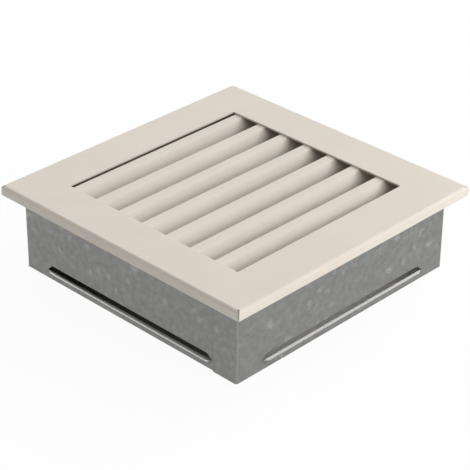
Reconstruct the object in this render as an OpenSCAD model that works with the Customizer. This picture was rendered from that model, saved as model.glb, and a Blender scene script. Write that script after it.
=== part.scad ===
// Square ventilation grille with fixed slats and its wall mounting frame.
// The grille lies on the back rim of the mounting frame, with its face up (+Z).
// The slats run along X, and +Y is the upper side when the grille is on a wall.
// Origin: centre of the back rim of the mounting frame. Millimetres.

/* [Front panel] */
// Outer width and height of the square flange
panel_size = 170; // [165:1:200]
// Thickness of the panel sheet
panel_t = 1.0; // [0.8:0.1:1.5]
// Width and height of the square opening
opening = 120; // [110:1:124]
// Height of the folded lip, from the face of the panel to its rim
lip_h = 5.3; // [4.5:0.1:8]
// Inner radius of the lip's fold
lip_r = 0.8; // [0.5:0.1:1.2]
// Width of the open corner slit at the face
slit_face = 0.8; // [0.5:0.1:1]
// Width of the open corner slit at the rim of the lips
slit_rim = 0.25; // [0.1:0.05:0.4]

/* [Slats] */
// Number of slats
slat_count = 7; // [6:1:7]
// Thickness of the slat sheet
slat_t = 0.8; // [0.6:0.1:1]
// Width of the flat strip along the top of a slat
slat_top = 4.1; // [3:0.1:5]
// Inner radius between the flat strip and the blade
slat_r = 1.4; // [1:0.1:2]
// Slope of the blade below the face
slat_angle = 52; // [48:1:58]
// Length of the blade down its slope
blade_len = 18; // [14:0.5:19]
// Open gap between the upper edge of the opening and the first slat
top_gap = 1.7; // [1:0.1:2.5]
// How far the strip after the last one would lie under the lower margin
last_tuck = 0.7; // [0.3:0.1:1.5]
// Distance of the end tenon from the fold, down the blade
tenon_in = 3; // [2:0.5:4]
// Width of the end tenon
tenon_w = 8; // [6:0.5:9]
// Clearance round a tenon in its slot
tenon_clear = 0.1; // [0.05:0.05:0.2]
// Gap between the end of a slat and the cheek
slat_end_gap = 0.1; // [0.05:0.05:0.3]

/* [Inner collar] */
// Thickness of the collar sheet
collar_t = 0.8; // [0.6:0.1:1]
// Depth of the collar behind the panel
collar_depth = 24; // [24:1:30]
// Gap between the collar and the inside of the mounting frame
collar_gap = 5; // [4:0.5:5.5]
// Width of the flange that lies under the panel
flange_w = 3.6; // [2:0.1:3.8]
// Inner radius of the collar's folds
collar_r = 0.5; // [0.3:0.1:0.8]
// Length of the corner tabs at the ends of the cheeks
tab_len = 9; // [6:1:12]
// Gap between a corner tab and the fold of the flange
tab_drop = 1.5; // [1:0.5:3]

/* [Springs] */
// Thickness of the spring strip
spring_t = 0.5; // [0.4:0.1:0.6]
// Width of the spring strip
spring_w = 22; // [20:1:26]
// Height of the riveted foot
foot_h = 8; // [7.5:0.5:8.5]
// Gap between the free tail and the flange of the collar
tail_gap = 1.65; // [1:0.05:2.4]
// Slope at which the spring leaves the collar
spring_angle = 35; // [32:1:38]
// Inner radius where the spring leaves its foot
spring_r = 2; // [1.5:0.1:2.5]
// Inner radius of the bow that presses on the frame
bow_r = 5; // [4:0.5:5]
// Length of the free tail
tail_len = 1; // [0.5:0.1:1.2]
// Gap between the bow at rest and the inside of the frame
spring_clear = 0.15; // [0.1:0.05:0.3]
// Diameter of the rivet shank
rivet_d = 3.2; // [2.4:0.1:3.2]
// Diameter of the rivet head
rivet_head_d = 6; // [5:0.1:6.5]
// Height of the rivet's domed head
rivet_head_h = 1.1; // [0.8:0.1:1.5]
// Diameter of the rivet's closed end
rivet_tail_d = 4.6; // [4.2:0.1:5]
// Height of the rivet's closed end
rivet_tail_h = 1.2; // [0.8:0.1:1.5]
// Radial clearance of the shank in its holes
rivet_clear = 0.05; // [0.02:0.01:0.1]
// Distance between the two rivets of a spring
rivet_pitch = 12; // [10:0.5:13]

/* [Mounting frame] */
// How far the frame's walls stand inside the outer edge of the panel
frame_inset = 8.25; // [7:0.25:10]
// Thickness of the galvanised sheet
frame_t = 0.7; // [0.5:0.1:0.9]
// Depth of the frame, from its back rim to its front rim
frame_depth = 46.7; // [42:0.1:60]
// Inner radius of the frame's corner folds
frame_r = 0.5; // [0.3:0.1:1]
// Length of the overlap tab past the corner
lap_len = 15.5; // [10:0.5:15.5]
// Gap between the covered end of the strip and the corner fold
lap_end_gap = 0.2; // [0.1:0.1:0.5]
// Gap between the front rim and the underside of the panel
seat_gap = 0.3; // [0.2:0.1:0.5]
// Length of a plaster tongue at its fold
tongue_len = 119.8; // [60:0.2:120.6]
// How much shorter a tongue is at each end of its tip
tongue_taper = 3.3; // [1:0.1:4]
// How far a tongue stands out from the wall
tongue_out = 1.7; // [1.7:0.1:4]
// Angle through which a tongue is folded out of the wall
tongue_angle = 110; // [90:5:120]
// Height of a tongue's upper face above the back rim
tongue_z = 5.4; // [4:0.1:8]
// Inner radius of a tongue's fold
tongue_r = 0.3; // [0.2:0.1:0.5]
// Height of the window above the upper face of its tongue
window_h = 2.8; // [2:0.1:4]

/* [Hidden] */

// Segments of every round edge.
$fn = 48;
// Overlap that takes a cut past a face, or a piece's root into its wall.
cut = 1;
// Heights of the panel's underside and face above the back rim.
seat_z = frame_depth + seat_gap;
face_z = seat_z + panel_t;
// Outer radius of the lip's fold.
lip_ro = lip_r + panel_t;
// Outer width of the frame, and half widths of the frame and the collar.
frame_size = panel_size - 2 * frame_inset;
frame_half = frame_size / 2;
collar_half = frame_half - frame_t - collar_gap;
inner_half = collar_half - collar_t;
// Distance between the slats, and the upper edge of the first one.
slat_pitch = (opening - top_gap + last_tuck) / slat_count;
first_slat_y = opening / 2 - top_gap;
// Length of a slat between the cheeks, and over its tenons, which end flush outside.
slat_len = 2 * (inner_half - slat_end_gap);
tenon_len = 2 * collar_half;
// Back edge of the collar.
collar_z = seat_z - collar_depth;
// Straight part of a spring, which carries the bow to the frame.
spring_reach = collar_gap - spring_clear - spring_t;
rise = 1 - cos(spring_angle);
spring_run = (spring_reach - (spring_r + bow_r + spring_t) * rise) / sin(spring_angle);
// Height of a spring from its foot to its tail, which hangs below the collar's flange.
spring_h = foot_h + (spring_r + 2 * (bow_r + spring_t)) * sin(spring_angle)
    + (spring_run + tail_len) * cos(spring_angle);
foot_z = seat_z - collar_t - tail_gap - spring_h;
rivet_z = foot_z + foot_h / 2;
rivet_grip = spring_t + collar_t;
// Height at which a tongue leaves the wall, and the top of the window it was cut from.
fold_z = tongue_z - frame_t - tongue_r;
window_z = tongue_z + window_h;
// Straight part of a tongue, past its fold.
tongue_dip = tongue_angle - 90;
tongue_run = (tongue_out - tongue_r - (tongue_r + frame_t) * sin(tongue_dip)) / cos(tongue_dip);

panel_colour = [0.86, 0.83, 0.78];
zinc_colour = [0.56, 0.57, 0.56];
spring_colour = [0.42, 0.43, 0.45];

// Sheet sections are drawn as one path. A sheet lies between x = 0 and x = t and runs
// along +y. Each piece of the path carries what follows it as its children.

// Straight stretch of sheet.
module run(t, len) {
    square([t, len]);
    translate([0, len]) children();
}

// Fold towards -x, with inner radius r, through the angle a.
module fold_left(t, r, a) {
    translate([-r, 0]) {
        ring_part(r, r + t, 0, a);
        rotate(a) translate([r, 0]) children();
    }
}

// Fold towards +x, with inner radius r, through the angle a.
module fold_right(t, r, a) {
    translate([t + r, 0]) {
        ring_part(r, r + t, 180 - a, 180);
        rotate(-a) translate([-t - r, 0]) children();
    }
}

// Part of a ring between the radii ri and ro, from angle a to angle b.
module ring_part(ri, ro, a, b) {
    far = 2 * ro;
    mid = (a + b) / 2;
    intersection() {
        difference() {
            circle(ro);
            circle(ri);
        }
        scale(far) polygon([
            [0, 0],
            [cos(a), sin(a)],
            [cos(mid), sin(mid)],
            [cos(b), sin(b)]
        ]);
    }
}

// Square with rounded corners, centred.
module rounded_square(size, r) {
    inner = size - 2 * r;
    square([size, inner], center = true);
    square([inner, size], center = true);
    for (x = [-1, 1], y = [-1, 1]) {
        translate([x, y] * inner / 2) circle(r);
    }
}

// Solid bar along X with the panel's outer or inner section, its top at z = 0.
module hood_bar(w, h, r) {
    rotate([90, 0, 90]) linear_extrude(w, center = true) {
        translate([-w / 2, -h]) square([w, h - r]);
        translate([-w / 2 + r, -h]) square([w - 2 * r, h]);
        for (side = [-1, 1]) {
            translate([side * (w / 2 - r), -r]) circle(r);
        }
    }
}

// The same bar along X and along Y, which leaves mitred corners.
module hood(w, h, r) {
    intersection() {
        hood_bar(w, h, r);
        rotate([0, 0, 90]) hood_bar(w, h, r);
    }
}

// Open slit between two lips at a corner, wide at the face and narrow at the rim.
module corner_slit() {
    start = (panel_size / 2 - lip_ro) * sqrt(2);
    depth = lip_h + cut;
    rotate([90, 0, 90]) translate([0, 0, start]) linear_extrude(2 * lip_ro + cut) {
        polygon([
            [-slit_face / 2, cut],
            [slit_face / 2, cut],
            [slit_face / 2, 0],
            [slit_rim / 2, -depth],
            [-slit_rim / 2, -depth],
            [-slit_face / 2, 0]
        ]);
    }
}

// Front panel: one sheet with four folded lips, open corners and a square opening.
module front_panel() {
    color(panel_colour) translate([0, 0, face_z]) difference() {
        hood(panel_size, lip_h, lip_ro);
        translate([0, 0, -panel_t]) hood(panel_size - 2 * panel_t, lip_h, lip_r);
        cube([opening, opening, 2 * panel_t + cut], center = true);
        for (a = [45 : 90 : 315]) {
            rotate([0, 0, a]) corner_slit();
        }
    }
}

// Puts a slat's section in its place: x is up, y runs down the face and z runs along it.
module place_slat(k) {
    translate([0, first_slat_y - k * slat_pitch, seat_z - slat_t]) {
        rotate([0, -90, 180]) children();
    }
}

// Flat strip, rounded fold and sloping blade.
module slat_section() {
    run(slat_t, slat_top) fold_left(slat_t, slat_r, slat_angle) run(slat_t, blade_len);
}

// Section of the end tenon, grown by c on each side for its slot.
module tenon_section(c) {
    translate([-slat_r, slat_top]) rotate(slat_angle) translate([slat_r, 0]) {
        translate([-c, tenon_in - c]) square([slat_t + 2 * c, tenon_w + 2 * c]);
    }
}

// One slat with a tenon at each end. The number k counts from the top.
module slat(k) {
    if (k < slat_count) {
        color(panel_colour) place_slat(k) {
            linear_extrude(slat_len, center = true) slat_section();
            linear_extrude(tenon_len, center = true) tenon_section(0);
        }
    }
}

// Slots for all the tenons, through both cheeks.
module tenon_slots() {
    for (k = [0 : slat_count - 1]) {
        place_slat(k) {
            linear_extrude(tenon_len + 2 * cut, center = true) tenon_section(tenon_clear);
        }
    }
}

// Collar wall on the -Y side, with its flange turned outwards under the panel.
module collar_wall(len) {
    translate([0, -collar_half - flange_w, seat_z - collar_t]) {
        rotate([0, -90, 0]) linear_extrude(len, center = true) {
            run(collar_t, flange_w - collar_r)
                fold_left(collar_t, collar_r, 90)
                run(collar_t, collar_depth - collar_r - collar_t);
        }
    }
}

// Corner tabs at both ends of a cheek on the -Y side, turned inwards.
module corner_tabs() {
    fold_start = inner_half - collar_r - collar_t;
    tab_h = collar_depth - collar_r - collar_t - tab_drop;
    translate([0, 0, collar_z]) linear_extrude(tab_h) {
        for (side = [0, 1]) {
            mirror([side, 0]) translate([fold_start - cut, -inner_half]) rotate(-90) {
                run(collar_t, cut) fold_left(collar_t, collar_r, 90) run(collar_t, tab_len);
            }
        }
    }
}

// The two rivet holes of a spring on the -Y side.
module rivet_holes() {
    for (side = [-1, 1]) {
        translate([side * rivet_pitch / 2, -inner_half + cut, rivet_z]) rotate([90, 0, 0]) {
            cylinder(h = rivet_grip + 2 * cut, r = rivet_d / 2 + rivet_clear);
        }
    }
}

// Cross wall of the collar on the -Y side.
module cross_wall() {
    color(panel_colour) difference() {
        collar_wall(2 * collar_half);
        rivet_holes();
    }
}

// Side cheek, which carries the ends of the slats. The turn a puts it on its side.
module cheek(a) {
    color(panel_colour) difference() {
        rotate([0, 0, a]) difference() {
            union() {
                collar_wall(2 * (inner_half - collar_r - collar_t));
                corner_tabs();
            }
            rivet_holes();
        }
        tenon_slots();
    }
}

// Leaf spring on the -Y side: riveted foot, straight rise, bow and free tail.
module spring() {
    color(spring_colour) difference() {
        translate([0, -collar_half - spring_t, foot_z]) rotate([90, 0, 90]) {
            linear_extrude(spring_w, center = true) {
                run(spring_t, foot_h)
                    fold_left(spring_t, spring_r, spring_angle)
                    run(spring_t, spring_run)
                    fold_right(spring_t, bow_r, 2 * spring_angle)
                    run(spring_t, tail_len);
            }
        }
        rivet_holes();
    }
}

// Blind rivet with its domed head above z = 0 and its closed end below the grip.
module rivet() {
    dome_r = (pow(rivet_head_d / 2, 2) + pow(rivet_head_h, 2)) / (2 * rivet_head_h);
    rotate_extrude() {
        intersection() {
            translate([0, rivet_head_h - dome_r]) circle(dome_r);
            square([rivet_head_d / 2, rivet_head_h]);
        }
        translate([0, -rivet_grip]) square([rivet_d / 2, rivet_grip]);
        translate([0, -rivet_grip - rivet_tail_h]) square([rivet_tail_d / 2, rivet_tail_h]);
    }
}

// Two rivets for each of the four springs.
module rivets() {
    color(spring_colour) for (a = [0 : 90 : 270], side = [-1, 1]) {
        rotate([0, 0, a]) {
            translate([side * rivet_pitch / 2, -collar_half - spring_t, rivet_z]) {
                rotate([90, 0, 0]) rivet();
            }
        }
    }
}

// Plan of the frame: a folded ring whose end laps over the wall on the -X side.
module frame_plan() {
    corner = frame_r + frame_t + cut;
    difference() {
        rounded_square(frame_size, frame_r + frame_t);
        rounded_square(frame_size - 2 * frame_t, frame_r);
        translate([-frame_half - cut, -frame_half - cut]) {
            square([cut + corner, cut + frame_t + frame_r + lap_end_gap]);
        }
    }
    translate([corner - frame_half, -frame_half]) rotate(90) {
        run(frame_t, corner - frame_r)
            fold_right(frame_t, frame_r, 90)
            run(frame_t, lap_len - frame_r - frame_t);
    }
}

// Window in the wall on the -Y side, left where a tongue was cut and folded out.
module tongue_window() {
    base = tongue_len / 2;
    translate([0, cut - frame_half, 0]) rotate([90, 0, 0]) linear_extrude(2 * cut) {
        polygon([
            [-base, fold_z],
            [base, fold_z],
            [base, tongue_z],
            [base - tongue_taper, window_z],
            [tongue_taper - base, window_z],
            [-base, tongue_z]
        ]);
    }
}

// Plaster tongue on the -Y side, folded outwards and a little down, with tapered ends.
module tongue() {
    base = tongue_len / 2;
    tip = tongue_out + cut;
    inset = tongue_taper * tip / tongue_out;
    intersection() {
        translate([0, -frame_half, fold_z - cut]) rotate([90, 0, 90]) {
            linear_extrude(tongue_len, center = true) run(frame_t, cut) {
                fold_left(frame_t, tongue_r, tongue_angle) run(frame_t, tongue_run);
            }
        }
        linear_extrude(window_z) translate([0, -frame_half]) polygon([
            [-base, frame_t + cut],
            [base, frame_t + cut],
            [base, 0],
            [base - inset, -tip],
            [inset - base, -tip],
            [-base, 0]
        ]);
    }
}

// Mounting frame: one folded galvanised strip with a lapped corner and four tongues.
module mounting_frame() {
    color(zinc_colour) {
        difference() {
            linear_extrude(frame_depth) frame_plan();
            for (a = [0 : 90 : 270]) {
                rotate([0, 0, a]) tongue_window();
            }
        }
        for (a = [0 : 90 : 270]) {
            rotate([0, 0, a]) tongue();
        }
    }
}

mounting_frame();
front_panel();
slat(0);  // slat_1
slat(1);  // slat_2
slat(2);  // slat_3
slat(3);  // slat_4
slat(4);  // slat_5
slat(5);  // slat_6
slat(6);  // slat_7
cheek(-90);  // left_cheek
cheek(90);  // right_cheek
cross_wall();  // lower_collar
rotate([0, 0, 180]) cross_wall();  // upper_collar
rotate([0, 0, -90]) spring();  // left_spring
rotate([0, 0, 90]) spring();  // right_spring
spring();  // lower_spring
rotate([0, 0, 180]) spring();  // upper_spring
rivets();
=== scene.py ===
"""Finish and stage of a ventilation grille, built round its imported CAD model.

Metres throughout, in the frame of the model: the grille lies on the back rim of
its mounting frame, with its face up, its slats along X and its upper side at +Y.
"""

import math

import bpy
from mathutils import Matrix, Vector


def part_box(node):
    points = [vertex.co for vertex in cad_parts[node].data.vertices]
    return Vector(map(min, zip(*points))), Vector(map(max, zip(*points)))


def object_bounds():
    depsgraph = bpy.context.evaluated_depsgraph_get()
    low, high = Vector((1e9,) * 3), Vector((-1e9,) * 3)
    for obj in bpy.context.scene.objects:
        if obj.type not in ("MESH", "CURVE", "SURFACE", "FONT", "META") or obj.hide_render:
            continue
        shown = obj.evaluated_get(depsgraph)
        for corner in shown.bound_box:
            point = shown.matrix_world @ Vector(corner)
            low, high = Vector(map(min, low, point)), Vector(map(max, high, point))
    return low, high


bl_info = {
    "name": "Ventilation grille",
    "version": (1, 0, 0),
    "blender": (4, 5, 0),
    "location": "View3D > Sidebar > Grille",
    "description": "Finishes a ventilation grille and sets it on a studio floor",
    "category": "Object",
}

MM = 0.001

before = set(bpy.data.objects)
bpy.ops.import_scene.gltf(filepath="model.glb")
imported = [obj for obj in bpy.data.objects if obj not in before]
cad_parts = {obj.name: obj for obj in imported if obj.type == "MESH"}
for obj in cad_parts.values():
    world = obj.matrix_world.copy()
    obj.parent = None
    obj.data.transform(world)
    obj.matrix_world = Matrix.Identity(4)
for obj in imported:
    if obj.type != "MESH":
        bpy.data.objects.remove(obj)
cad_box = [list(corner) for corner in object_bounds()]

PANEL = ["front_panel"]
SLATS = [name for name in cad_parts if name.startswith("slat_")]
COLLAR = ["left_cheek", "right_cheek", "lower_collar", "upper_collar"]
SPRINGS = [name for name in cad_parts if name.endswith("_spring")]
RIVETS = ["rivets"]
WALLS = ["mounting_frame"]

# How far the folded tongues stand out of the walls of the mounting frame
TONGUE_OUT = 1.7 * MM
# From the middle of the grille to the outside of a wall
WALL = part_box("mounting_frame")[1][0] - TONGUE_OUT


# Node helpers


def feed(tree, socket, value):
    """Links a socket to another one, or sets its value."""
    if isinstance(value, bpy.types.NodeSocket):
        tree.links.new(value, socket)
    else:
        socket.default_value = value


def add(tree, kind, values=None, **settings):
    """Adds a node, sets its settings, and sets or links its sockets."""
    node = tree.nodes.new(kind)
    for key, value in settings.items():
        setattr(node, key, value)
    for key, value in (values or {}).items():
        feed(tree, node.inputs[key], value)
    return node


def calc(tree, operation, first, second):
    """Works one value out from two."""
    return add(tree, "ShaderNodeMath", {0: first, 1: second}, operation=operation).outputs[0]


def remap(tree, value, low, high, to_low=0.0, to_high=1.0):
    """Maps a value from one range to another and keeps it inside."""
    node = add(tree, "ShaderNodeMapRange", {
        "Value": value, "From Min": low, "From Max": high,
        "To Min": to_low, "To Max": to_high,
    })
    return node.outputs["Result"]


def spread(tree, value, to_low=0.0, to_high=1.0, margin=0.3):
    """Spreads a noise, which seldom comes near 0 or 1, over a whole range."""
    return remap(tree, value, margin, 1 - margin, to_low, to_high)


def blend_colour(tree, factor, first, second):
    """Mixes two colours."""
    node = add(tree, "ShaderNodeMix", data_type="RGBA")
    for index, value in ((0, factor), (6, first), (7, second)):
        feed(tree, node.inputs[index], value)
    return node.outputs[2]


def shade(colour, share=1.0):
    """A colour made darker or lighter by a share, with its fourth channel."""
    return tuple(min(1.0, part * share) for part in colour) + (1.0,)


def noise(tree, where, scale, detail, roughness=0.5):
    """Noise from 0 to 1."""
    node = add(tree, "ShaderNodeTexNoise", {
        "Vector": where, "Scale": scale, "Detail": detail, "Roughness": roughness})
    return node.outputs["Fac"]


def from_middle(tree, where):
    """How far a place is from the middle of the grille along each axis.

    Returns these three distances, and the larger and the smaller of the first two,
    which run across and along the nearest wall.
    """
    size = add(tree, "ShaderNodeVectorMath", {0: where}, operation="ABSOLUTE")
    parts = add(tree, "ShaderNodeSeparateXYZ", {0: size.outputs[0]}).outputs
    across = calc(tree, "MAXIMUM", parts["X"], parts["Y"])
    along = calc(tree, "MINIMUM", parts["X"], parts["Y"])
    return parts, across, along


# Node groups that the finishes share


def new_group(name, inputs, outputs):
    """Starts a shader node group and returns it with its nodes for inputs and outputs."""
    group = bpy.data.node_groups.new(name, "ShaderNodeTree")
    for label, kind, default in inputs:
        socket = group.interface.new_socket(label, in_out="INPUT", socket_type=kind)
        socket.default_value = default
    for label, kind in outputs:
        group.interface.new_socket(label, in_out="OUTPUT", socket_type=kind)
    return group, group.nodes.new("NodeGroupInput"), group.nodes.new("NodeGroupOutput")


def place_group(tree, build, values):
    """Places a node group, which is built the first time that a finish asks for it."""
    group = bpy.data.node_groups.get(build.__name__) or build(build.__name__)
    return add(tree, "ShaderNodeGroup", values, node_tree=group)


def sheet_edges(name):
    """Mask of the edges, and a normal that is rounded there."""
    group, enter, leave = new_group(
        name,
        [("Radius", "NodeSocketFloat", 0.3 * MM)],
        [("Mask", "NodeSocketFloat"), ("Normal", "NodeSocketVector")],
    )
    rounded = add(group, "ShaderNodeBevel", {"Radius": enter.outputs["Radius"]}, samples=6)
    flat = add(group, "ShaderNodeNewGeometry")
    match = add(group, "ShaderNodeVectorMath", {
        0: rounded.outputs["Normal"], 1: flat.outputs["True Normal"]}, operation="DOT_PRODUCT")
    # The two normals agree on the flat and part on an edge
    feed(group, leave.inputs["Mask"], remap(group, match.outputs["Value"], 0.98, 0.8))
    feed(group, leave.inputs["Normal"], rounded.outputs["Normal"])
    return group


def powder_peel(name):
    """Fine orange peel of a powder coat, and its slow change of tone."""
    group, enter, leave = new_group(
        name,
        [("Size", "NodeSocketFloat", 1.2 * MM), ("Cloud", "NodeSocketFloat", 30 * MM)],
        [("Height", "NodeSocketFloat"), ("Tone", "NodeSocketFloat")],
    )
    where = add(group, "ShaderNodeTexCoord").outputs["Object"]
    fine = calc(group, "DIVIDE", 1.0, enter.outputs["Size"])
    slow = calc(group, "DIVIDE", 1.0, enter.outputs["Cloud"])
    feed(group, leave.inputs["Height"], noise(group, where, fine, 2.0, 0.45))
    feed(group, leave.inputs["Tone"], noise(group, where, slow, 2.0))
    return group


def zinc_spangle(name):
    """Zinc crystals: mottled tone, slow clouds, sparse pale flecks and fine grain."""
    group, enter, leave = new_group(
        name,
        [("Crystal", "NodeSocketFloat", 3 * MM), ("Grain scale", "NodeSocketFloat", 1500.0)],
        [("Tone", "NodeSocketFloat"), ("Cloud", "NodeSocketFloat"),
         ("Fleck", "NodeSocketFloat"), ("Grain", "NodeSocketFloat")],
    )
    where = add(group, "ShaderNodeTexCoord").outputs["Object"]
    fine = calc(group, "DIVIDE", 1.0, enter.outputs["Crystal"])
    slow = calc(group, "MULTIPLY", fine, 0.45)
    mottle = noise(group, where, fine, 1.5)

    # A fleck is a cell picked by its colour, pale near its middle and broken by the mottle
    cells = add(group, "ShaderNodeTexVoronoi", {"Vector": where, "Scale": slow})
    pick = add(group, "ShaderNodeSeparateColor", {0: cells.outputs["Color"]}).outputs[0]
    rare = remap(group, pick, 0.4, 0.8)
    near = remap(group, cells.outputs["Distance"], 0.5, 0.2)
    ragged = remap(group, mottle, 0.4, 0.62)
    fleck = calc(group, "MULTIPLY", calc(group, "MULTIPLY", rare, near), ragged)

    feed(group, leave.inputs["Tone"], mottle)
    feed(group, leave.inputs["Cloud"], noise(group, where, slow, 2.0))
    feed(group, leave.inputs["Fleck"], fleck)
    feed(group, leave.inputs["Grain"], noise(group, where, enter.outputs["Grain scale"], 2.0, 0.6))
    return group


def crevice_shade_mask(name):
    """Mask of the corners where one part of a sheet lies close to another, where shade is painted on.
    """
    group, enter, leave = new_group(
        name, [("Reach", "NodeSocketFloat", 2 * MM)], [("Mask", "NodeSocketFloat")])
    open_sky = add(group, "ShaderNodeAmbientOcclusion", {"Distance": enter.outputs["Reach"]},
                   samples=8, only_local=True)
    # Out in the open the value is 1, and about a half in a square corner
    feed(group, leave.inputs["Mask"], remap(group, open_sky.outputs["AO"], 0.97, 0.6))
    return group


def painted_light_mask(name):
    """Masks of the parts of the mounting frame where light is painted on.

    These are the upper faces of the tongues on the Y walls, with painted light, the cut ends of those
    on the X walls, with a painted highlight, and the outer folds of the frame, with a painted
    highlight line.
    """
    group, enter, leave = new_group(
        name,
        [("Wall", "NodeSocketFloat", 80 * MM), ("Half length", "NodeSocketFloat", 60 * MM),
         ("Foot", "NodeSocketFloat", 4.3 * MM), ("Top", "NodeSocketFloat", 6 * MM)],
        [("Face", "NodeSocketFloat"), ("End", "NodeSocketFloat"), ("Fold", "NodeSocketFloat")],
    )
    where = add(group, "ShaderNodeTexCoord").outputs["Object"]
    parts, across, along = from_middle(group, where)
    true_normal = add(group, "ShaderNodeNewGeometry").outputs["True Normal"]
    rise = add(group, "ShaderNodeSeparateXYZ", {0: true_normal}).outputs["Z"]

    # Limits of the tongues in length and height, which wall they are on, and what faces up
    middle = calc(group, "LESS_THAN", along, enter.outputs["Half length"])
    low = calc(group, "LESS_THAN", parts["Z"], enter.outputs["Top"])
    high = calc(group, "GREATER_THAN", parts["Z"], enter.outputs["Foot"])
    on_x = calc(group, "GREATER_THAN", parts["X"], parts["Y"])
    on_y = calc(group, "SUBTRACT", 1.0, on_x)
    upper = calc(group, "GREATER_THAN", rise, 0.5)

    # A face starts at its root in the wall, and an end is the outer part of its tongue
    out = calc(group, "SUBTRACT", across, enter.outputs["Wall"])
    face = remap(group, out, -0.5 * MM, 0.3 * MM)
    end = remap(group, out, 0.8 * MM, 1.3 * MM)
    for label, mask, limits in (("Face", face, (middle, low, high, on_y, upper)),
                                ("End", end, (middle, low, high, on_x))):
        for limit in limits:
            mask = calc(group, "MULTIPLY", mask, limit)
        feed(group, leave.inputs[label], mask)

    # Only in a fold is a place near the outside of two walls; a painted highlight line goes there, at
    # half strength
    inside = calc(group, "SUBTRACT", enter.outputs["Wall"], along)
    feed(group, leave.inputs["Fold"], remap(group, inside, 0.5 * MM, 0.3 * MM, 0.0, 0.5))
    return group


def steel_grain(name):
    """Fine lines that rolling or drawing leaves in steel, along the height of a piece."""
    group, enter, leave = new_group(
        name,
        [("Line", "NodeSocketFloat", 0.15 * MM), ("Length", "NodeSocketFloat", 12.0),
         ("Cloud scale", "NodeSocketFloat", 180.0)],
        [("Height", "NodeSocketFloat"), ("Tone", "NodeSocketFloat")],
    )
    where = add(group, "ShaderNodeTexCoord").outputs["Object"]
    fine = calc(group, "DIVIDE", 1.0, enter.outputs["Line"])
    short = calc(group, "DIVIDE", 1.0, enter.outputs["Length"])
    squeeze = add(group, "ShaderNodeCombineXYZ", {"X": 1.0, "Y": 1.0, "Z": short})
    drawn = add(group, "ShaderNodeVectorMath", {0: where, 1: squeeze.outputs[0]},
                operation="MULTIPLY")
    feed(group, leave.inputs["Height"], noise(group, drawn.outputs[0], fine, 2.0))
    feed(group, leave.inputs["Tone"], noise(group, where, enter.outputs["Cloud scale"], 3.0))
    return group


# Finishes


def new_material(name):
    """Starts a material with a Principled BSDF and returns it with its tree and shader."""
    material = bpy.data.materials.new(name)
    material.use_nodes = True
    tree = material.node_tree
    return material, tree, tree.nodes["Principled BSDF"]


def roughen(tree, shader, height, relief, depth, normal):
    """Raises a fine relief on the rounded normal of a sheet."""
    bump = add(tree, "ShaderNodeBump", {
        "Strength": relief, "Distance": depth, "Height": height, "Normal": normal})
    feed(tree, shader.inputs["Normal"], bump.outputs["Normal"])


def powder_coat(name, look):
    """Satin powder coat, a little paler on the edges."""
    material, tree, shader = new_material(name)
    edges = place_group(tree, sheet_edges, {"Radius": look.edge_radius}).outputs
    peel = place_group(tree, powder_peel, {"Size": look.peel_size}).outputs

    tone = spread(tree, peel["Tone"])
    colour = blend_colour(tree, tone, shade(look.colour, 1 - look.clouding),
                          shade(look.colour, 1 + look.clouding))
    worn = calc(tree, "MULTIPLY", edges["Mask"], look.edge_wear)
    colour = blend_colour(tree, worn, colour, shade(look.colour, 1 + 2 * look.clouding))
    feed(tree, shader.inputs["Base Color"], colour)

    rough = spread(tree, peel["Tone"], look.roughness - look.roughness_change,
                   look.roughness + look.roughness_change)
    feed(tree, shader.inputs["Roughness"], rough)
    roughen(tree, shader, peel["Height"], look.relief, look.peel_depth, edges["Normal"])
    shader.inputs["IOR"].default_value = 1.5
    return material


def zinc_coat(name, look):
    """Hot-dip galvanised sheet, with painted shade in its crevices, painted light on its tongues, and
    a painted highlight on its edges and folds, which are partly rubbed too.
    """
    material, tree, shader = new_material(name)
    edges = place_group(tree, sheet_edges, {"Radius": look.edge_radius}).outputs
    spangle = place_group(tree, zinc_spangle, {"Crystal": look.crystal}).outputs
    lit = place_group(tree, painted_light_mask, {"Wall": look.wall}).outputs
    crevices = place_group(tree, crevice_shade_mask, {"Reach": look.crevice_reach}).outputs

    mottle = spread(tree, spangle["Tone"], margin=0.25)
    colour = blend_colour(tree, mottle, shade(look.colour, 1 - look.contrast),
                          shade(look.colour, 1 + look.contrast))
    calm = spread(tree, spangle["Cloud"], to_high=0.5, margin=0.25)
    colour = blend_colour(tree, calm, colour, shade(look.colour))
    fleck = calc(tree, "MULTIPLY", spangle["Fleck"], look.flecks)
    colour = blend_colour(tree, fleck, colour, shade(look.colour, look.fleck_shade))
    # Painted light on the upper faces of the tongues on the Y walls, and a painted highlight on the
    # cut ends of those on the X walls
    tongues = calc(tree, "ADD", lit["Face"], lit["End"])
    bright = calc(tree, "MULTIPLY", tongues, look.painted_tongue_light)
    colour = blend_colour(tree, bright, colour, shade(look.painted_light_colour))
    # Paler edges and folds: a painted highlight line, and partly rubbed zinc as well
    edge = calc(tree, "MAXIMUM", edges["Mask"], lit["Fold"])
    worn = calc(tree, "MULTIPLY", edge, look.edge_wear)
    colour = blend_colour(tree, worn, colour, shade(look.colour, look.edge_shade))
    # Painted shade: the zinc is darkened where the occlusion mask finds a crevice, as under the
    # tongues and at the laps
    shaded = calc(tree, "MULTIPLY", crevices["Mask"], look.crevices)
    colour = blend_colour(tree, shaded, colour, shade(look.colour, look.crevice_shade))
    feed(tree, shader.inputs["Base Color"], colour)

    # The faces with painted light lose their metal reflection as well
    metal = remap(tree, lit["Face"], 0.0, 1.0, look.metallic, 0.0)
    feed(tree, shader.inputs["Metallic"], metal)
    rough = spread(tree, spangle["Tone"], look.roughness + look.roughness_change,
                   look.roughness - look.roughness_change)
    feed(tree, shader.inputs["Roughness"], rough)
    roughen(tree, shader, spangle["Grain"], look.relief, look.grain_depth, edges["Normal"])
    return material


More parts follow.
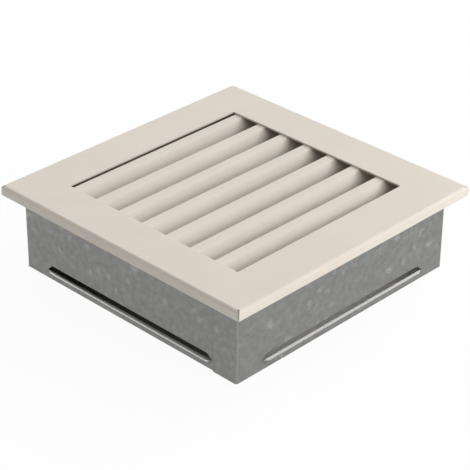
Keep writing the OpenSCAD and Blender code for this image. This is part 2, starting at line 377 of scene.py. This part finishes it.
def bright_steel(name, look, colour, length):
    """Bright steel with the fine lines of rolling, or a plain grain where length is 1."""
    material, tree, shader = new_material(name)
    edges = place_group(tree, sheet_edges, {"Radius": look.edge_radius}).outputs
    grain = place_group(tree, steel_grain, {"Line": look.line, "Length": length}).outputs

    tone = spread(tree, grain["Tone"])
    clouded = blend_colour(tree, tone, shade(colour, look.dark_shade),
                           shade(colour, look.light_shade))
    worn = calc(tree, "MULTIPLY", edges["Mask"], look.edge_wear)
    bright = blend_colour(tree, worn, clouded, shade(colour, look.edge_shade))
    feed(tree, shader.inputs["Base Color"], bright)

    rough = spread(tree, grain["Height"], look.roughness - look.roughness_change,
                   look.roughness + look.roughness_change)
    feed(tree, shader.inputs["Roughness"], rough)
    shader.inputs["Metallic"].default_value = 1.0
    roughen(tree, shader, grain["Height"], look.relief, look.line_depth, edges["Normal"])
    return material


def assign(names, material):
    """Gives CAD nodes their finish."""
    for name in names:
        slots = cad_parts[name].material_slots
        if not slots:
            raise RuntimeError(name + " has no material slot")
        for slot in slots:
            slot.material = material


# Sizes and colours


class GrilleEnamel(bpy.types.PropertyGroup):
    """Powder coat of the panel, the slats and the collar."""

    colour: bpy.props.FloatVectorProperty(
        name="Colour", description="Colour of the powder coat", subtype="COLOR",
        size=3, min=0.0, max=1.0, default=(0.716, 0.657, 0.573))
    clouding: bpy.props.FloatProperty(
        name="Clouding", description="How much the colour slowly changes", default=0.02,
        min=0.0, max=1.0)
    roughness: bpy.props.FloatProperty(
        name="Roughness", description="Roughness of the coat", default=0.34,
        min=0.05, max=1.0)
    roughness_change: bpy.props.FloatProperty(
        name="Roughness change", description="How much the roughness goes up and down", default=0.03,
        min=0.0, max=1.0)
    relief: bpy.props.FloatProperty(
        name="Relief", description="How strongly the fine relief shows", default=0.25,
        min=0.0, max=1.0)
    peel_size: bpy.props.FloatProperty(
        name="Peel size", description="Width of one ripple of the orange peel",
        default=1.2 * MM, unit="LENGTH")
    peel_depth: bpy.props.FloatProperty(
        name="Peel depth", description="Depth of the orange peel",
        default=0.02 * MM, unit="LENGTH")
    edge_radius: bpy.props.FloatProperty(
        name="Edge radius", description="How round the coat makes a sheet's edges",
        default=0.25 * MM, unit="LENGTH")
    edge_wear: bpy.props.FloatProperty(
        name="Edge wear", description="How much the edges stand out", default=0.35,
        min=0.0, max=1.0)


class GrilleZinc(bpy.types.PropertyGroup):
    """Zinc coat of the mounting frame."""

    colour: bpy.props.FloatVectorProperty(
        name="Colour", description="Colour of the zinc", subtype="COLOR",
        size=3, min=0.0, max=1.0, default=(0.229, 0.231, 0.223))
    # Colour painted where light and highlights fall on the tongues
    painted_light_colour: bpy.props.FloatVectorProperty(
        name="Rubbed colour", description="Colour of the zinc where it is rubbed bright",
        subtype="COLOR", size=3, min=0.0, max=1.0, default=(0.9, 0.9, 0.88))
    contrast: bpy.props.FloatProperty(
        name="Contrast", description="How much the crystals differ in tone", default=0.15,
        min=0.0, max=1.0)
    flecks: bpy.props.FloatProperty(
        name="Flecks", description="How much the sparse pale crystals stand out", default=0.55,
        min=0.0, max=1.0)
    fleck_shade: bpy.props.FloatProperty(
        name="Fleck shade", description="How many times paler than the zinc a fleck is", default=2.0,
        min=1.0, max=4.0)
    # Painted shade in the crevices: how strong it is, and the share of the colour it keeps
    crevices: bpy.props.FloatProperty(
        name="Crevices", description="How much the dull zinc shows in crevices", default=0.8,
        min=0.0, max=1.0)
    crevice_shade: bpy.props.FloatProperty(
        name="Crevice shade", description="Share of the colour that dull zinc keeps", default=0.2,
        min=0.0, max=1.0)
    crevice_reach: bpy.props.FloatProperty(
        name="Crevice reach", description="How far the dull zinc comes out of a crevice",
        default=2 * MM, unit="LENGTH")
    # Strength of the painted light and highlight on the tongues
    painted_tongue_light: bpy.props.FloatProperty(
        name="Burnish", description="How bright the folded tongues are rubbed", default=0.8,
        min=0.0, max=1.0)
    wall: bpy.props.FloatProperty(
        name="Wall", description="From the middle of the grille to the outside of a wall",
        default=WALL, unit="LENGTH")
    roughness: bpy.props.FloatProperty(
        name="Roughness", description="Roughness of the zinc", default=0.38,
        min=0.05, max=1.0)
    roughness_change: bpy.props.FloatProperty(
        name="Roughness change", description="How much the roughness goes up and down", default=0.04,
        min=0.0, max=1.0)
    relief: bpy.props.FloatProperty(
        name="Relief", description="How strongly the fine relief shows", default=0.3,
        min=0.0, max=1.0)
    metallic: bpy.props.FloatProperty(
        name="Metallic", description="Share of metallic reflection", default=0.8,
        min=0.0, max=1.0)
    crystal: bpy.props.FloatProperty(
        name="Crystal", description="Width of a zinc crystal", default=3 * MM, unit="LENGTH")
    grain_depth: bpy.props.FloatProperty(
        name="Grain depth", description="Depth of the fine grain", default=0.03 * MM,
        unit="LENGTH")
    edge_radius: bpy.props.FloatProperty(
        name="Edge radius", description="How round the zinc makes a sheet's edges",
        default=0.2 * MM, unit="LENGTH")
    # The paler edges and folds of the zinc are a painted highlight as well as rubbed zinc
    edge_wear: bpy.props.FloatProperty(
        name="Edge wear", description="How much the edges and folds are rubbed", default=0.6,
        min=0.0, max=1.0)
    edge_shade: bpy.props.FloatProperty(
        name="Edge shade", description="How many times paler than the zinc an edge is", default=1.7,
        min=1.0, max=4.0)


class GrilleSteel(bpy.types.PropertyGroup):
    """Steel of the leaf springs and the rivets."""

    spring_colour: bpy.props.FloatVectorProperty(
        name="Spring colour", description="Colour of the rolled spring strip", subtype="COLOR",
        size=3, min=0.0, max=1.0, default=(0.36, 0.36, 0.37))
    spring_line_length: bpy.props.FloatProperty(
        name="Spring line length", description="How many times longer than wide a line is",
        default=14.0, min=1.0)
    dark_shade: bpy.props.FloatProperty(
        name="Dark shade", description="Share of the colour where the steel is dark", default=0.88,
        min=0.0, max=1.0)
    light_shade: bpy.props.FloatProperty(
        name="Light shade", description="Share of the colour where the steel is light", default=1.08,
        min=1.0, max=2.0)
    rivet_colour: bpy.props.FloatVectorProperty(
        name="Rivet colour", description="Colour of the plated rivets", subtype="COLOR",
        size=3, min=0.0, max=1.0, default=(0.58, 0.60, 0.62))
    roughness: bpy.props.FloatProperty(
        name="Roughness", description="Roughness of the steel", default=0.31,
        min=0.05, max=1.0)
    roughness_change: bpy.props.FloatProperty(
        name="Roughness change", description="How much the roughness goes up and down", default=0.07,
        min=0.0, max=1.0)
    relief: bpy.props.FloatProperty(
        name="Relief", description="How strongly the fine relief shows", default=0.35,
        min=0.0, max=1.0)
    line: bpy.props.FloatProperty(
        name="Line", description="Width of one rolled line", default=0.15 * MM, unit="LENGTH")
    line_depth: bpy.props.FloatProperty(
        name="Line depth", description="Depth of the rolled lines", default=0.01 * MM,
        unit="LENGTH")
    edge_radius: bpy.props.FloatProperty(
        name="Edge radius", description="How round the edges of the steel are",
        default=0.15 * MM, unit="LENGTH")
    edge_wear: bpy.props.FloatProperty(
        name="Edge wear", description="How much the edges of the steel stand out", default=0.5,
        min=0.0, max=1.0)
    edge_shade: bpy.props.FloatProperty(
        name="Edge shade", description="How many times paler than the steel an edge is", default=1.35,
        min=1.0, max=2.0)


class GrilleStage(bpy.types.PropertyGroup):
    """Floor, surround and camera."""

    floor_size: bpy.props.FloatProperty(
        name="Floor size", description="Width of the square floor", default=6.0,
        unit="LENGTH")
    floor_tone: bpy.props.FloatProperty(
        name="Floor tone", description="How pale the floor is", default=0.95, min=0.0, max=1.0)
    shadow: bpy.props.FloatProperty(
        name="Shadow", description="How much of its shading the white floor shows",
        default=0.06, min=0.0, max=1.0)
    # Painted shade on the floor inside the frame, and how far the painted light from the lower wall
    # reaches
    inner_shade_tone: bpy.props.FloatProperty(
        name="Inner tone", description="How pale the floor is inside the frame",
        default=0.1, min=0.0, max=1.0)
    inner_light_fade: bpy.props.FloatProperty(
        name="Inner fade", description="How far from the lower wall the floor grows dim",
        default=30 * MM, unit="LENGTH")
    surround: bpy.props.FloatProperty(
        name="Surround", description="Strength of the even light from all round",
        default=0.28, min=0.0, max=2.0)
    surround_right: bpy.props.FloatProperty(
        name="Surround right", description="How much stronger it is at the right, along +X",
        default=1.88, min=0.0, max=4.0)
    camera_place: bpy.props.FloatVectorProperty(
        name="Camera", description="Place of the camera", subtype="TRANSLATION", unit="LENGTH",
        default=(-0.59175, -0.57274, 0.50046))
    camera_yaw: bpy.props.FloatProperty(
        name="Yaw", description="Direction of view, from +Y towards +X",
        default=math.radians(45.937), subtype="ANGLE")
    camera_dip: bpy.props.FloatProperty(
        name="Dip", description="How far the view points below the horizon",
        default=math.radians(30.329), subtype="ANGLE")
    camera_roll: bpy.props.FloatProperty(
        name="Roll", description="Roll of the camera about its view",
        default=math.radians(0.515), subtype="ANGLE")
    lens: bpy.props.FloatProperty(
        name="Lens", description="Focal length on a 36 mm sensor", default=140.29,
        min=10.0)


# Operators


class GRILLE_OT_enamel(bpy.types.Operator):
    """Paint the panel, the slats and the collar."""

    bl_idname = "grille.enamel"
    bl_label = "Paint front unit"

    def execute(self, context):
        material = powder_coat("cream_powder_coat", context.scene.grille_enamel)
        assign(PANEL + SLATS + COLLAR, material)
        return {"FINISHED"}


class GRILLE_OT_zinc(bpy.types.Operator):
    """Give the mounting frame its zinc coat."""

    bl_idname = "grille.zinc"
    bl_label = "Galvanise mounting frame"

    def execute(self, context):
        assign(WALLS, zinc_coat("galvanised_sheet", context.scene.grille_zinc))
        return {"FINISHED"}


class GRILLE_OT_springs(bpy.types.Operator):
    """Finish the leaf springs as bright rolled steel."""

    bl_idname = "grille.springs"
    bl_label = "Finish springs"

    def execute(self, context):
        look = context.scene.grille_steel
        material = bright_steel(
            "rolled_spring_steel", look, look.spring_colour, look.spring_line_length)
        assign(SPRINGS, material)
        return {"FINISHED"}


class GRILLE_OT_rivets(bpy.types.Operator):
    """Finish the blind rivets as bright plated steel."""

    bl_idname = "grille.rivets"
    bl_label = "Finish rivets"

    def execute(self, context):
        look = context.scene.grille_steel
        assign(RIVETS, bright_steel("plated_rivet_steel", look, look.rivet_colour, 1.0))
        return {"FINISHED"}


class GRILLE_OT_stage(bpy.types.Operator):
    """Set the floor, the surround, the lamps and the camera."""

    bl_idname = "grille.stage"
    bl_label = "Set stage"

    def execute(self, context):
        look = context.scene.grille_stage
        make_floor(look, context.scene.grille_zinc.wall)
        make_surround(context.scene, look)
        for lamp in LAMPS:
            make_lamp(context.scene, *lamp)
        make_camera(context.scene, look)
        context.scene.view_settings.view_transform = "Standard"
        return {"FINISHED"}


# Stage

WHITE = (1.0, 1.0, 1.0, 1.0)
SENSOR_MM = 36.0

# Soft boxes: name, azimuth from +X and elevation in degrees, distance, width, height, watts.
LAMPS = (
    ("front", -80, 20, 1.4, 1.2, 0.9, 7.2),
    ("key", -48, 21, 1.4, 0.15, 0.15, 0.3),
    ("right", 0, 27, 1.4, 0.15, 0.15, 4.1),
    ("near", -46, 13.4, 0.214, 0.03, 0.03, 0.015),
    ("back_left", 110, 25, 1.4, 1.0, 0.9, 2.1),
)


def seen_directly(tree):
    """1 for rays from the camera, and for rays that metal or glass sends on."""
    path = add(tree, "ShaderNodeLightPath").outputs
    metal = calc(tree, "MAXIMUM", path["Is Camera Ray"], path["Is Glossy Ray"])
    return calc(tree, "MAXIMUM", metal, path["Is Transmission Ray"])


def make_floor(look, wall):
    """White floor that keeps the object's shadow; inside the frame it has painted shade, and painted
    light near the lower wall where light falls in through the windows.
    """
    bpy.ops.mesh.primitive_plane_add(size=look.floor_size, location=(0, 0, 0))
    floor = bpy.context.object
    floor.name = "floor"
    material = bpy.data.materials.new("white_floor")
    material.use_nodes = True
    tree = material.node_tree
    tree.nodes.clear()

    where = add(tree, "ShaderNodeTexCoord").outputs["Object"]
    outside = calc(tree, "GREATER_THAN", from_middle(tree, where)[1], wall)
    place_y = add(tree, "ShaderNodeSeparateXYZ", {0: where}).outputs["Y"]
    # Painted light and shade inside the frame: pale at the lower wall, as light falling in through
    # the windows, and dark further in
    inner_light_and_shade = remap(tree, place_y, -wall, look.inner_light_fade - wall, look.floor_tone, look.inner_shade_tone)
    paint = add(tree, "ShaderNodeMix", {
        "Factor": outside, "A": inner_light_and_shade, "B": look.floor_tone}, data_type="FLOAT")
    matt = add(tree, "ShaderNodeBsdfDiffuse", {"Color": paint.outputs[0]})

    white = calc(tree, "MULTIPLY", seen_directly(tree), outside)
    share = calc(tree, "MULTIPLY", white, 1.0 - look.shadow)
    glow = add(tree, "ShaderNodeEmission", {"Color": WHITE, "Strength": 1.0})
    mix = add(tree, "ShaderNodeMixShader", {0: share, 1: matt.outputs[0], 2: glow.outputs[0]})
    add(tree, "ShaderNodeOutputMaterial", {"Surface": mix.outputs[0]})
    floor.data.materials.append(material)


def make_surround(scene, look):
    """Soft light from all round, stronger from the right, and white where it is seen."""
    world = bpy.data.worlds.new("surround")
    scene.world = world
    world.use_nodes = True
    tree = world.node_tree
    direction = add(tree, "ShaderNodeTexCoord").outputs["Generated"]
    to_right = add(tree, "ShaderNodeSeparateXYZ", {0: direction}).outputs["X"]
    light = remap(tree, to_right, 0.0, 1.0, look.surround, look.surround + look.surround_right)
    level = add(tree, "ShaderNodeMix", {"Factor": seen_directly(tree), "A": light, "B": 1.0},
                data_type="FLOAT")
    back = tree.nodes["Background"]
    back.inputs["Color"].default_value = WHITE
    feed(tree, back.inputs["Strength"], level.outputs[0])


def make_lamp(scene, name, azimuth, elevation, distance, width, height, watts):
    """Soft box that looks at the middle of the grille's face."""
    data = bpy.data.lights.new(name, "AREA")
    data.shape = "RECTANGLE"
    data.size = width
    data.size_y = height
    data.energy = watts
    lamp = bpy.data.objects.new(name, data)
    scene.collection.objects.link(lamp)
    turn, rise = math.radians(azimuth), math.radians(elevation)
    away = Vector((math.cos(turn) * math.cos(rise), math.sin(turn) * math.cos(rise),
                   math.sin(rise)))
    target = Vector((0, 0, cad_box[1][2]))
    lamp.matrix_world = (Matrix.Translation(target + away * distance)
                         @ away.to_track_quat("Z", "Y").to_matrix().to_4x4())
    lamp.visible_camera = False


def make_camera(scene, look):
    """Camera of the photograph."""
    data = bpy.data.cameras.new("camera")
    data.lens = look.lens
    data.sensor_width = SENSOR_MM
    data.clip_start = 10 * MM
    camera = bpy.data.objects.new("camera", data)
    scene.collection.objects.link(camera)
    yaw, dip, roll = look.camera_yaw, look.camera_dip, look.camera_roll
    ahead = Vector((math.sin(yaw) * math.cos(dip), math.cos(yaw) * math.cos(dip), -math.sin(dip)))
    right = Vector((math.cos(yaw), -math.sin(yaw), 0))
    up = right.cross(ahead)
    right, up = (right * math.cos(roll) + up * math.sin(roll),
                 up * math.cos(roll) - right * math.sin(roll))
    turn = Matrix((right, up, -ahead)).transposed()
    camera.matrix_world = Matrix.Translation(Vector(look.camera_place)) @ turn.to_4x4()
    scene.camera = camera


# Panel and start


class GRILLE_PT_sidebar(bpy.types.Panel):
    """Lists the steps that dress the grille."""

    bl_label = "Ventilation grille"
    bl_idname = "GRILLE_PT_sidebar"
    bl_space_type = "VIEW_3D"
    bl_region_type = "UI"
    bl_category = "Grille"

    def draw(self, context):
        for step in STEPS:
            self.layout.operator("grille." + step)


STEPS = ("enamel", "zinc", "springs", "rivets", "stage")
GROUPS = {
    "grille_enamel": GrilleEnamel,
    "grille_zinc": GrilleZinc,
    "grille_steel": GrilleSteel,
    "grille_stage": GrilleStage,
}
CLASSES = [
    *GROUPS.values(), GRILLE_OT_enamel, GRILLE_OT_zinc, GRILLE_OT_springs, GRILLE_OT_rivets,
    GRILLE_OT_stage, GRILLE_PT_sidebar,
]


def register():
    for item in CLASSES:
        bpy.utils.register_class(item)
    for name, group in GROUPS.items():
        setattr(bpy.types.Scene, name, bpy.props.PointerProperty(type=group))


def unregister():
    for name in GROUPS:
        delattr(bpy.types.Scene, name)
    for item in reversed(CLASSES):
        bpy.utils.unregister_class(item)


def main():
    register()
    for step in STEPS:
        getattr(bpy.ops.grille, step)()


if __name__ == "__main__":
    main()
